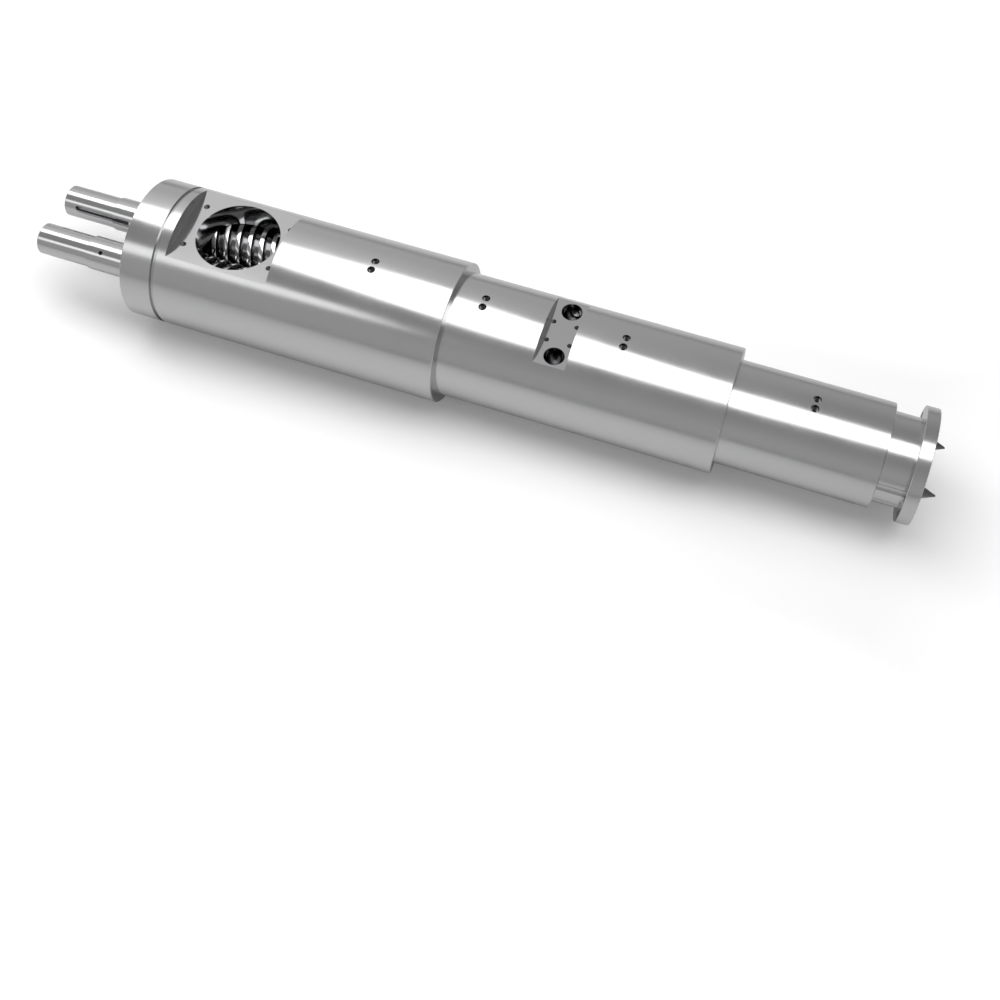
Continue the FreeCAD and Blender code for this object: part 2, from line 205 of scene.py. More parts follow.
def join(pieces: Sequence[bpy.types.Object]) -> bpy.types.Object:
    """Join objects into the first of them.

    Args:
        pieces: the objects to join.

    Returns:
        The first object, holding all the meshes.
    """
    activate(pieces[0])
    for piece in pieces[1:]:
        piece.select_set(True)
    bpy.ops.object.join()
    return bpy.context.active_object


def carve(piece: bpy.types.Object, tool: bpy.types.Object, cut: Cut = Cut.AWAY) -> None:
    """Cut a tool's shape out of a piece, or weld it on, and drop the tool.

    Args:
        piece: the object that changes.
        tool: the closed shape that does it.
        cut: whether the tool cuts away or is joined on.
    """
    activate(piece)
    bpy.ops.object.modifier_add(type="BOOLEAN")
    modifier = piece.modifiers[-1]
    modifier.operation = cut.value
    modifier.solver = "MANIFOLD"
    modifier.object = tool
    bpy.ops.object.modifier_apply(modifier=modifier.name)
    bpy.data.objects.remove(tool)


def dress(
    piece: bpy.types.Object,
    finishes: Sequence[bpy.types.Material],
    pick: Callable[[Vector, Vector], IntEnum],
) -> None:
    """Give each face of a piece its finish.

    Args:
        piece: the object to dress.
        finishes: the materials in slot order.
        pick: slot for a face, from its centre and normal.
    """
    piece.data.materials.clear()
    for material in finishes:
        piece.data.materials.append(material)
    for face in piece.data.polygons:
        face.material_index = pick(face.center, face.normal)


def round_off(piece: bpy.types.Object, angle: float = 30.0) -> None:
    """Shade a piece smooth except over its sharp edges.

    Args:
        piece: the object to shade.
        angle: largest angle in degrees that still looks round.
    """
    activate(piece)
    bpy.ops.object.shade_smooth_by_angle(angle=math.radians(angle))


def marks_group() -> bpy.types.NodeTree:
    """Build the machining marks that every steel finish shares.

    Returns:
        A group with the inputs Stretch and Smudge Scale and the outputs Marks and Smudges.
    """
    group = bpy.data.node_groups.new("MachiningMarks", "ShaderNodeTree")
    sockets = group.interface
    sockets.new_socket("Stretch", in_out="INPUT", socket_type="NodeSocketVector")
    sockets.new_socket("Smudge Scale", in_out="INPUT", socket_type="NodeSocketFloat")
    sockets.new_socket("Marks", in_out="OUTPUT", socket_type="NodeSocketFloat")
    sockets.new_socket("Smudges", in_out="OUTPUT", socket_type="NodeSocketFloat")
    nodes, links = group.nodes, group.links
    given = nodes.new("NodeGroupInput")
    result = nodes.new("NodeGroupOutput")
    place = nodes.new("ShaderNodeTexCoord")
    mapping = nodes.new("ShaderNodeMapping")
    marks = nodes.new("ShaderNodeTexNoise")
    marks.inputs["Scale"].default_value = 1.0
    marks.inputs["Detail"].default_value = 3.0
    smudges = nodes.new("ShaderNodeTexNoise")
    smudges.inputs["Detail"].default_value = 4.0
    links.new(place.outputs["Object"], mapping.inputs["Vector"])
    links.new(given.outputs["Stretch"], mapping.inputs["Scale"])
    links.new(mapping.outputs["Vector"], marks.inputs["Vector"])
    links.new(place.outputs["Object"], smudges.inputs["Vector"])
    links.new(given.outputs["Smudge Scale"], smudges.inputs["Scale"])
    links.new(marks.outputs["Fac"], result.inputs["Marks"])
    links.new(smudges.outputs["Fac"], result.inputs["Smudges"])
    return group


@dataclass(frozen=True)
class SteelFinish:
    """Bare steel with the marks that a machine left on it.

    Attributes:
        name: name of the material.
        colour: reflectance of the metal, red, green and blue; the bore, hole and channel finishes
            lower it as painted shade.
        roughness: middle roughness.
        spread: how far smudges move the roughness.
        stretch: marks per metre along X, Y and Z.
        depth: depth of the marks in metres.
        tone: how much the marks darken the metal.
        smudges: smudges per metre.
        smudge_limits: values of the smudges at which the roughness is lowest and highest.
    """

    name: str
    colour: Point = (0.6, 0.6, 0.605)
    roughness: float = 0.22
    spread: float = 0.05
    stretch: Point = (900.0, 6.0, 6.0)
    depth: float = 2e-6
    tone: float = 0.03
    smudges: float = 9.0
    smudge_limits: Pair = (0.2, 0.8)

    def build(self, marks: bpy.types.NodeTree) -> bpy.types.Material:
        """Build the material.

        Args:
            marks: the shared machining marks.

        Returns:
            The material.
        """
        material = bpy.data.materials.new(self.name)
        material.use_nodes = True
        nodes, links = material.node_tree.nodes, material.node_tree.links
        shader = nodes["Principled BSDF"]
        shader.inputs["Metallic"].default_value = 1.0
        group = nodes.new("ShaderNodeGroup")
        group.node_tree = marks
        group.inputs["Stretch"].default_value = self.stretch
        group.inputs["Smudge Scale"].default_value = self.smudges
        shade = nodes.new("ShaderNodeMix")
        shade.data_type = "RGBA"
        darker = tuple(part * (1 - 2 * self.tone) for part in self.colour)
        shade.inputs["A"].default_value = (*darker, 1.0)
        shade.inputs["B"].default_value = (*self.colour, 1.0)
        polish = nodes.new("ShaderNodeMapRange")
        polish.interpolation_type = "SMOOTHSTEP"
        polish.inputs["From Min"].default_value = self.smudge_limits[0]
        polish.inputs["From Max"].default_value = self.smudge_limits[1]
        polish.inputs["To Min"].default_value = self.roughness - self.spread
        polish.inputs["To Max"].default_value = self.roughness + self.spread
        bump = nodes.new("ShaderNodeBump")
        bump.inputs["Strength"].default_value = 0.5
        bump.inputs["Distance"].default_value = self.depth
        links.new(group.outputs["Marks"], shade.inputs["Factor"])
        links.new(shade.outputs["Result"], shader.inputs["Base Color"])
        links.new(group.outputs["Smudges"], polish.inputs["Value"])
        links.new(polish.outputs["Result"], shader.inputs["Roughness"])
        links.new(group.outputs["Marks"], bump.inputs["Height"])
        links.new(bump.outputs["Normal"], shader.inputs["Normal"])
        return material


@dataclass(frozen=True)
class Tap:
    """A tapped hole.

    Attributes:
        radius: radius of the hole at the thread's crest.
        depth: depth of the hole.
        pitch: spacing of the thread.
        ridge: height of the thread in pitches.
        flanks: how far the last turn's crest and the others' lie below a groove, in pitches.
        mouth: width of the chamfer at the mouth.
        over: how far the tool reaches past the mouth.
    """

    radius: float
    depth: float
    pitch: float
    ridge: float = 0.54
    flanks: Pair = (0.45, 0.4)
    mouth: float = 0.0005
    over: float = 0.01

    def profile(self) -> Profile:
        """Profile of the hole from its bottom up to just past its mouth.

        Returns:
            (height, radius) pairs, with a ridge for each turn of a thread.
        """
        groove = self.radius + self.ridge * self.pitch
        last_flank, flank = self.flanks
        points = [(-self.depth, self.radius)]
        for number in range(int(self.depth / self.pitch) - 1, 0, -1):
            height = -number * self.pitch
            points += [(height - self.pitch * flank, self.radius), (height, groove)]
        wide = groove + self.mouth
        points += [(-self.pitch * last_flank, self.radius), (self.mouth, wide), (self.over, wide)]
        return points


@dataclass
class SteppedBarrel:
    """The barrel: one forging, turned, bored and milled.

    Attributes:
        steps: (end station, radius) of each turned section from the rear.
        rim: width of the small chamfer on each rim.
        groove: start, end and radius of the groove round the head.
        axis_offset: distance of each screw axis from the middle.
        bore: bore radius at the rear face and at the discharge face.
        feed_flat: start, end and height of the feed seat.
        throat: station and radius of the round feed opening.
        vent_flat: start, end and height of the vent seat.
        vent: station and radius of the vents.
        feed_tap: the tapped holes of the feed seat.
        feed_tap_places: their stations, and their distance from the middle.
        vent_tap: the tapped holes of the vent seat.
        vent_tap_places: their stations, and their distance from the middle.
        wells: (station, radius of the barrel there) of each pair of probe wells.
        well: profile of a probe well, from its bottom to just past its mouth.
        well_offset: distance of the wells from the middle.
        scallop: radius of the circle that the scallops lie on, and their own radius.
        scallop_angles: where they lie round the barrel's axis, in degrees.
        flange_hole: radius of the flange's holes.
        rear_tap: radius and depth of the fixing holes in the rear face.
        rear_tap_place: distance of those holes from the middle, sideways and upwards.
        inner: radius inside which every face is the wall of a bore or a hole.
        tap_reach: distance from a tapped hole's middle within which its wall lies.
        well_reach: the same for a probe well.
        well_lip: depth of the bright edge round a well's mouth.
        clear: how far a tool for a seat or an opening reaches, well past the barrel.
        over: how far a tool reaches past an end face.
        lap: how far a flange hole's tool reaches into its scallop's.
        segments: facets round the barrel.
        bore_segments: facets round a bore and the throat.
        vent_segments: facets round a vent.
        scallop_segments: facets round a scallop's whole circle.
        hole_segments: facets round a small hole.
    """

    steps: tuple[Pair, ...] = (
        (0.667, 0.145), (1.231, 0.127), (1.535, 0.1045), (1.590, 0.0895), (1.616, 0.1155),
    )
    rim: float = 0.001
    groove: Point = (0.065, 0.074, 0.141)
    axis_offset: float = 0.056
    bore: Pair = (0.0648, 0.0213)
    feed_flat: Point = (0.0915, 0.307, 0.112)
    throat: Pair = (0.205, 0.084)
    vent_flat: Point = (0.854, 0.9185, 0.0975)
    vent: Pair = (0.8895, 0.0205)
    feed_tap: Tap = Tap(0.0051, 0.030, 0.00175)
    feed_tap_places: tuple[Pair, float] = ((0.111, 0.296), 0.052)
    vent_tap: Tap = Tap(0.00425, 0.025, 0.0015)
    vent_tap_places: tuple[Pair, float] = ((0.863, 0.910), 0.023)
    wells: tuple[Pair, ...] = ((0.4985, 0.145), (0.728, 0.127), (1.012, 0.127), (1.388, 0.1045))
    well: tuple[Pair, ...] = ((-0.060, 0.004), (-0.013, 0.004), (-0.013, 0.008), (0.01, 0.008))
    well_offset: float = 0.011
    scallop: Pair = (0.1025, 0.0155)
    scallop_angles: tuple[float, ...] = (15, 165, 195, 345)
    flange_hole: float = 0.00675
    rear_tap: Pair = (0.00875, 0.040)
    rear_tap_place: Pair = (0.061, 0.105)
    inner: float = 0.08
    tap_reach: float = 0.0065
    well_reach: float = 0.0085
    # well_lip: depth of the edge round a well's mouth that keeps the turned finish, above the
    # painted shade inside.
    well_lip: float = 0.003
    clear: float = 0.2
    over: float = 0.01
    lap: float = 0.001
    segments: int = 384
    bore_segments: int = 192
    vent_segments: int = 96
    scallop_segments: int = 64
    hole_segments: int = 40

    def scallops(self) -> list[Pair]:
        """Y and Z of the four scallops and of the flange holes in line with them."""
        circle, angles = self.scallop[0], map(math.radians, self.scallop_angles)
        return [(circle * math.cos(angle), circle * math.sin(angle)) for angle in angles]

    def profile(self) -> Profile:
        """Outer profile with its rims and groove.

        Returns:
            (station, radius) pairs from the rear face to the discharge face.
        """
        start, end, floor = self.groove
        head = self.steps[0][1]
        points = [(0.0, head - self.rim), (self.rim, head)]
        points += [(start, head), (start, floor), (end, floor), (end, head)]
        for number, (station, radius) in enumerate(self.steps):
            following = self.steps[number + 1][1] if number + 1 < len(self.steps) else 0
            if following < radius:
                points += [(station - self.rim, radius), (station, radius - self.rim)]
            else:
                points.append((station, radius))
            if following:
                rise = self.rim if following > radius else 0
                points.append((station, following - rise))
                if rise:
                    points.append((station + rise, following))
        return points

    def bores(self) -> list[bpy.types.Object]:
        """Tools for the two tapered bores.

        Returns:
            One cone for each screw.
        """
        length = self.steps[-1][0]
        slope = (self.bore[0] - self.bore[1]) / length
        over = 2 * self.over
        cone = [(-over, self.bore[0] + slope * over), (length + over, self.bore[1] - slope * over)]
        sides = {"BoreFar": self.axis_offset, "BoreNear": -self.axis_offset}
        return [turn(name, cone, self.bore_segments, place=(0, y, 0)) for name, y in sides.items()]

    def holes(self, name: str, profile: Profile, places: Iterable[Point]) -> list[bpy.types.Object]:
        """Tools for upright holes.

        Args:
            name: name of the tools.
            profile: profile of the hole.
            places: middle of each mouth.

        Returns:
            One tool for each place.
        """
        return [turn(name, profile, self.hole_segments, Axis.UPRIGHT, place) for place in places]

    def seats(self) -> list[bpy.types.Object]:
        """Tools for the two milled seats.

        Returns:
            Two boxes.
        """
        return [
            block("Seat", (start, -self.clear, height), (end, self.clear, self.clear))
            for start, end, height in (self.feed_flat, self.vent_flat)
        ]

    def openings(self) -> list[bpy.types.Object]:
        """Tools for the feed throat and the two vents.

        Returns:
            Three upright cylinders.
        """
        station, radius = self.throat
        wall = [(0, radius), (self.clear, radius)]
        tools = [turn("Throat", wall, self.bore_segments, Axis.UPRIGHT, (station, 0, 0))]
        station, radius = self.vent
        wall = [(0, radius), (self.clear, radius)]
        for y in (self.axis_offset, -self.axis_offset):
            tools.append(turn("Vent", wall, self.vent_segments, Axis.UPRIGHT, (station, y, 0)))
        return tools

    def feed_taps(self) -> list[Point]:
        """Mouths of the feed seat's tapped holes."""
        stations, offset = self.feed_tap_places
        return [(x, y, self.feed_flat[2]) for x in stations for y in (-offset, offset)]

    def vent_taps(self) -> list[Point]:
        """Mouths of the vent seat's tapped holes."""
        stations, offset = self.vent_tap_places
        return [(x, y, self.vent_flat[2]) for x in stations for y in (-offset, offset)]

    def well_mouths(self) -> list[Point]:
        """Mouths of the probe wells."""
        return [(x, y, top) for x, top in self.wells for y in (-self.well_offset, self.well_offset)]

    def taps(self) -> list[bpy.types.Object]:
        """Tools for the tapped holes of the seats and for the probe wells.

        Returns:
            One tool for each hole.
        """
        tools = self.holes("Hole", self.feed_tap.profile(), self.feed_taps())
        tools += self.holes("Hole", self.vent_tap.profile(), self.vent_taps())
        return tools + self.holes("Well", self.well, self.well_mouths())

    def end_holes(self) -> list[bpy.types.Object]:
        """Tools for the scallops, the flange holes and the rear fixing holes.

        Returns:
            One tool for each of them.
        """
        neck_start, neck_end = self.steps[2][0], self.steps[3][0]
        start, end = neck_end - self.lap, self.steps[4][0] + self.over
        through = [(start, self.flange_hole), (end, self.flange_hole)]
        along = [(neck_start, self.scallop[1]), (neck_end, self.scallop[1])]
        tools = []
        for y, z in self.scallops():
            tools.append(turn("FlangeHole", through, self.hole_segments, place=(0, y, z)))
            tools.append(turn("Scallop", along, self.scallop_segments, place=(0, y, z)))
        radius, depth = self.rear_tap
        aside, up = self.rear_tap_place
        blind = [(-self.over, radius), (depth, radius)]
        for place in ((0, y, z) for y in (-aside, aside) for z in (-up, up)):
            tools.append(turn("RearTap", blind, self.hole_segments, place=place))
        return tools

    def shoulders(self) -> list[float]:
        """Stations of the faces that stand square to the barrel's axis."""
        seats = [*self.feed_flat[:2], *self.vent_flat[:2]]
        return [0.0, *(station for station, _ in self.steps), *seats]

    def hole_finish(self, centre: Vector, normal: Vector) -> BarrelSlot | None:
        """Slot of a face in a tapped hole or a probe well, whose dark finishes are painted shade.

        Args:
            centre: middle of the face.
            normal: direction that it faces.

        Returns:
            The slot, or nothing for a face that is in no such hole.
        """
        for x, y, _ in (*self.feed_taps(), *self.vent_taps()):
            inside = math.hypot(centre.x - x, centre.y - y) < self.tap_reach
            if inside and normal.z < SQUARE:
                return BarrelSlot.HOLE
        # painted shade: a well darkens with depth, the bore finish under its bright lip and the
        # nearly black hole finish deeper down
        counterbore = self.well[1][0] - TOUCH
        for x, y, top in self.well_mouths():
            inside = math.hypot(centre.x - x, centre.y - y) < self.well_reach
            if inside and centre.z < top - self.well_lip:
                return BarrelSlot.HOLE if centre.z < top + counterbore else BarrelSlot.BORED
        return None

    def is_faced(self, centre: Vector, normal: Vector) -> bool:
        """Tell whether a face is in a scallop or the groove, or is a shoulder or an end.

        Args:
            centre: middle of the face.
            normal: direction that it faces.

        Returns:
            Whether the face is faced steel.
        """
        if self.steps[2][0] < centre.x < self.steps[3][0]:
            reach = self.scallop[1] + TOUCH
            if any(math.hypot(centre.y - y, centre.z - z) < reach for y, z in self.scallops()):
                return True
        start, end, _ = self.groove
        under_head = math.hypot(centre.y, centre.z) < self.steps[0][1] - TOUCH
        if start - TOUCH < centre.x < end + TOUCH and under_head:
            return True
        square = abs(normal.x) > SQUARE
        return square and any(abs(centre.x - station) < TOUCH for station in self.shoulders())

    def finish_of(self, centre: Vector, normal: Vector) -> BarrelSlot:
        """Slot of a face, from where it lies and how it faces.

        Args:
            centre: middle of the face.
            normal: direction that it faces.

        Returns:
            The slot of its steel.
        """
        in_hole = self.hole_finish(centre, normal)
        if in_hole is not None:
            return in_hole
        seats = (self.feed_flat[2], self.vent_flat[2])
        if normal.z > SQUARE and any(abs(centre.z - height) < TOUCH for height in seats):
            return BarrelSlot.MILLED
        if self.is_faced(centre, normal):
            return BarrelSlot.FACED
        out = math.hypot(centre.y, centre.z)
        facing_out = normal.y * centre.y + normal.z * centre.z > OUTWARD * out
        # faces inside the barrel take the bore finish, whose dark colour is painted shade
        return BarrelSlot.TURNED if facing_out and out > self.inner else BarrelSlot.BORED

    def build(self, finishes: Sequence[bpy.types.Material]) -> bpy.types.Object:
        """Model the barrel and dress it.

        Args:
            finishes: its finishes, in the order of BarrelSlot.

        Returns:
            The finished barrel.
        """
        piece = turn("barrel_machined", self.profile(), self.segments)
        for tool in self.bores():
            carve(piece, tool)
        for tools in (self.seats(), self.openings(), self.taps(), self.end_holes()):
            carve(piece, join(tools))
        round_off(piece)
        dress(piece, finishes, self.finish_of)
        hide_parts("barrel")
        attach(piece, "barrel")
        LOG.info("barrel: %d faces", len(piece.data.polygons))
        return piece


@dataclass(frozen=True)
class Flight:
    """One helical flight, given as it would be on a cylinder of the crest's rear radius.

    Attributes:
        start: station where the flight's middle stands on the +Y side.
        length: how far it winds along X.
        lead: advance in one turn.
        width: width of the crest.
        foot: radius of its foot, well inside the core.
        starts: number of equal flights round the screw.
    """

    start: float
    length: float
    lead: float
    width: float
    foot: float
    starts: int = 1


@dataclass
class ExtruderScrew:
    """One screw: keyed shank, collar, tapering core, flights and nose.

    Attributes:
        node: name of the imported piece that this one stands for.
        body: name of the body that it rides on.
        side: Y of its axis.
        hand: hand of its flights.
        crest: radius of the flights' crests at the barrel's rear face and at the reach.
        reach: station at which the crests' second radius is given.
        bar: (station, radius) of the bar under the flights, from the shank's end to the nose.
        shank: start and end of the shank, and radius within which its keyway and hole lie.
        collar_end: station at which the shaft collar ends.
        feed: the three flights of the feed section.
        meter: the flight of the metering section, wound from the nose backwards.
        crest_depth: how far under the crest cone a face still belongs to the crest.
        crest_end: station past which only the nose is left.
        key: rear and front end, half width and floor of the keyway.
        key_angle: where the keyway lies round the axis on the right-hand screw, in degrees.
        dowel: station, radius and floor of the dowel hole.
        dowel_angle: where the dowel hole lies, likewise.
        clear: how far the tools for both reach from the axis.
        edge: rounding of the crests' corners.
        draft: slope of the flights' flanks.
        segments: facets round the bar.
        tool_segments: facets round the keyway's ends and the dowel hole.
        steps_per_turn: steps of a flight in one turn.
    """

    node: str
    body: str
    side: float
    hand: Hand
    crest: Pair = (0.064, 0.0205)
    reach: float = 1.616
    bar: tuple[Pair, ...] = (
        (-0.228, 0.0295), (-0.225, 0.0325), (-0.1130, 0.0325), (-0.112, 0.0353), (0.016, 0.0353),
        (0.016, 0.0535), (0.017, 0.0545), (0.085, 0.0545), (0.086, 0.0535), (0.086, 0.0481),
        (0.313, 0.0481), (1.605, 0.0146), (1.605, 0.0183), (1.6052, 0.0185), (1.6475, 0.0015),
    )
    shank: Point = (-0.2245, 0.016, 0.0322)
    collar_end: float = 0.086
    feed: Flight = Flight(0.103, 0.184, 0.0771, 0.009, 0.046, 3)
    meter: Flight = Flight(1.594, -1.281, 0.190, 0.014, 0.042)
    crest_depth: float = 0.0008
    crest_end: float = 1.604
    key: tuple[float, float, float, float] = (-0.1955, -0.0785, 0.0045, 0.0275)
    key_angle: float = 60
    dowel: Point = (-0.0815, 0.0045, 0.0213)
    dowel_angle: float = 149
    clear: float = 0.06
    edge: float = 0.0006
    draft: float = 0.16
    segments: int = 128
    tool_segments: int = 48
    steps_per_turn: int = 96

    @property
    def slope(self) -> float:
        """How fast the crest cone narrows along the screw."""
        return (self.crest[0] - self.crest[1]) / self.reach

    def wind(self, flight: Flight, turned: float) -> bpy.types.Object:
        """Wind one flight about the X axis and taper it to the crest cone.

        Args:
            flight: the flight to wind.
            turned: angle by which this start is turned about the axis.

        Returns:
            The closed flight.
        """
        crest = self.crest[0]
        middle = (flight.start, (crest + flight.foot) / 2, 0)
        bpy.ops.object.select_all(action="DESELECT")
        bpy.ops.mesh.primitive_plane_add(size=1, location=middle)
        piece = bpy.context.active_object
        piece.scale = (flight.width, crest - flight.foot, 1)
        settle(piece)
        self.shape_section(flight, crest)
        for kind in ("SCREW", "SIMPLE_DEFORM"):
            bpy.ops.object.modifier_add(type=kind)
        sweep, taper = piece.modifiers
        turns = flight.length / flight.lead
        sweep.axis = "X"
        sweep.angle = self.hand.value * turns * math.tau
        sweep.screw_offset = flight.length
        sweep.steps = sweep.render_steps = max(3, round(abs(turns) * self.steps_per_turn))
        sweep.use_normal_calculate = True
        bpy.ops.object.modifier_apply(modifier=sweep.name)
        bpy.ops.object.mode_set(mode="EDIT")
        bpy.ops.mesh.select_all(action="SELECT")
        bpy.ops.mesh.fill_holes(sides=0)
        bpy.ops.mesh.select_all(action="SELECT")
        bpy.ops.mesh.normals_make_consistent(inside=False)
        bpy.ops.object.mode_set(mode="OBJECT")
        stations = [corner[0] for corner in piece.bound_box]
        taper.deform_method = "TAPER"
        taper.deform_axis = "X"
        taper.factor = -self.slope / crest * (max(stations) - min(stations))
        bpy.ops.object.modifier_apply(modifier=taper.name)
        piece.rotation_euler.x = turned
        return settle(piece)

    def shape_section(self, flight: Flight, crest: float) -> None:
        """Draft the flanks of the section and round its crest corners.

        Args:
            flight: the flight whose section is the active object.
            crest: radius of its crest.
        """
        height = crest - flight.foot
        piece = bpy.context.active_object
        bpy.ops.object.mode_set(mode="EDIT")
        bpy.ops.mesh.select_all(action="DESELECT")
        bpy.ops.object.mode_set(mode="OBJECT")
        for vertex in piece.data.vertices:
            vertex.select = vertex.co.y < crest - height / 2
        bpy.ops.object.mode_set(mode="EDIT")
        bpy.ops.transform.resize(
            value=(1 + 2 * self.draft * height / flight.width, 1, 1),
            center_override=(flight.start, flight.foot, 0),
        )
        bpy.ops.mesh.select_all(action="INVERT")
        bpy.ops.mesh.bevel(offset=self.edge, segments=2, affect="VERTICES")
        bpy.ops.mesh.select_all(action="SELECT")
        bpy.ops.mesh.delete(type="ONLY_FACE")
        bpy.ops.object.mode_set(mode="OBJECT")

    def shank_tools(self) -> list[bpy.types.Object]:
        """Tools for the keyway and the dowel hole of the shank.

        Returns:
            The tools, one after the other.
        """
        rear, front, half, floor = self.key
        wall = [(floor, half), (self.clear, half)]
        keyway = [
            turn("KeyEnd", wall, self.tool_segments, Axis.UPRIGHT, (x, 0, 0)) for x in (rear, front)
        ]
        keyway.append(block("KeySlot", (rear, -half, floor), (front, half, self.clear)))
        tools = [self.swing(tool, self.key_angle) for tool in keyway]
        station, radius, floor = self.dowel
        wall = [(floor, radius), (self.clear, radius)]
        dowel = turn("Dowel", wall, self.tool_segments, Axis.UPRIGHT, (station, 0, 0))
        return [*tools, self.swing(dowel, self.dowel_angle)]

    def swing(self, tool: bpy.types.Object, angle: float) -> bpy.types.Object:
        """Turn an upright tool about the screw's axis, the mirrored way on the left-hand screw.

        Args:
            tool: the tool to turn.
            angle: the right-hand screw's angle in degrees.

        Returns:
            The same tool, settled.
        """
        half_turn = math.pi if self.hand is Hand.LEFT else 0
        tool.rotation_euler.x = self.hand.value * math.radians(angle) + half_turn
        return settle(tool)

    def finish_of(self, centre: Vector, _: Vector) -> ScrewSlot:
        """Slot of a face, from where it lies: keyway, dowel hole, the core between the flights and
        the nose count as channels, whose dark finish is painted shade and makes the nose darker.

        Args:
            centre: middle of the face.

        Returns:
            The slot of its steel.
        """
        out = math.hypot(centre.y - self.side, centre.z)
        rear, front, skin = self.shank
        if centre.x < front + TOUCH:
            inside = rear < centre.x < front and out < skin
            return ScrewSlot.CHANNEL if inside else ScrewSlot.GROUND
        if centre.x < self.collar_end + TOUCH:
            return ScrewSlot.POLISHED
        crest = self.crest[0] - self.slope * centre.x
        on_flight = out > crest - self.crest_depth and centre.x < self.crest_end
        return ScrewSlot.POLISHED if on_flight else ScrewSlot.CHANNEL

    def build(self, finishes: Sequence[bpy.types.Material]) -> bpy.types.Object:
        """Model the screw and dress it.

        Args:
            finishes: its finishes, in the order of ScrewSlot.

        Returns:
            The finished screw.
        """
        piece = turn(self.node + "_polished", self.bar, self.segments)
        for flight in (self.feed, self.meter):
            for start in range(flight.starts):
                winding = self.wind(flight, math.tau * start / flight.starts)
                carve(piece, winding, Cut.TOGETHER)
        for tool in self.shank_tools():
            carve(piece, tool)
        piece.location.y = self.side
        settle(piece)
        round_off(piece)
        dress(piece, finishes, self.finish_of)
        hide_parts(self.node)
        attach(piece, self.body)
        LOG.info("%s: %d faces", self.node, len(piece.data.polygons))
        return piece


